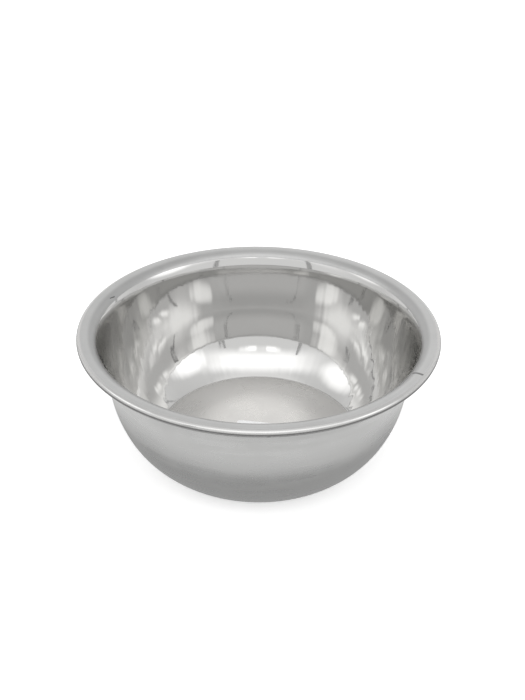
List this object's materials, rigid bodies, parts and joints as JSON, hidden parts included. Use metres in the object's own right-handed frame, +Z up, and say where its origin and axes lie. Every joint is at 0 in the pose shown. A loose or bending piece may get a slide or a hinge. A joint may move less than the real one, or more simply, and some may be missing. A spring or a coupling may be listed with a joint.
{
  "type": "shaving bowl",
  "caption": "Round pressed stainless steel lather bowl with a flat bottom, curved wall, rounded flange and rolled edge.",
  "frame": {"origin": "centre of the flat underside that the bowl rests on", "axes": "+Z is up, along the bowl's axis of revolution; +X is to the right and -Y is towards a viewer at the front, and the small label is the only thing that isn't round about the axis"},
  "size_m": [0.125, 0.125, 0.0485],
  "materials": {
    "stainless_sheet": "mirror-polished inner wall, satin flange, circularly brushed floor and outside",
    "label_paper": "white coated paper with a faint row of plain dashes"
  },
  "bodies": {
    "root": {"bowl_shell": "stainless_sheet", "floor_label": "label_paper"}
  },
  "joints": []
}
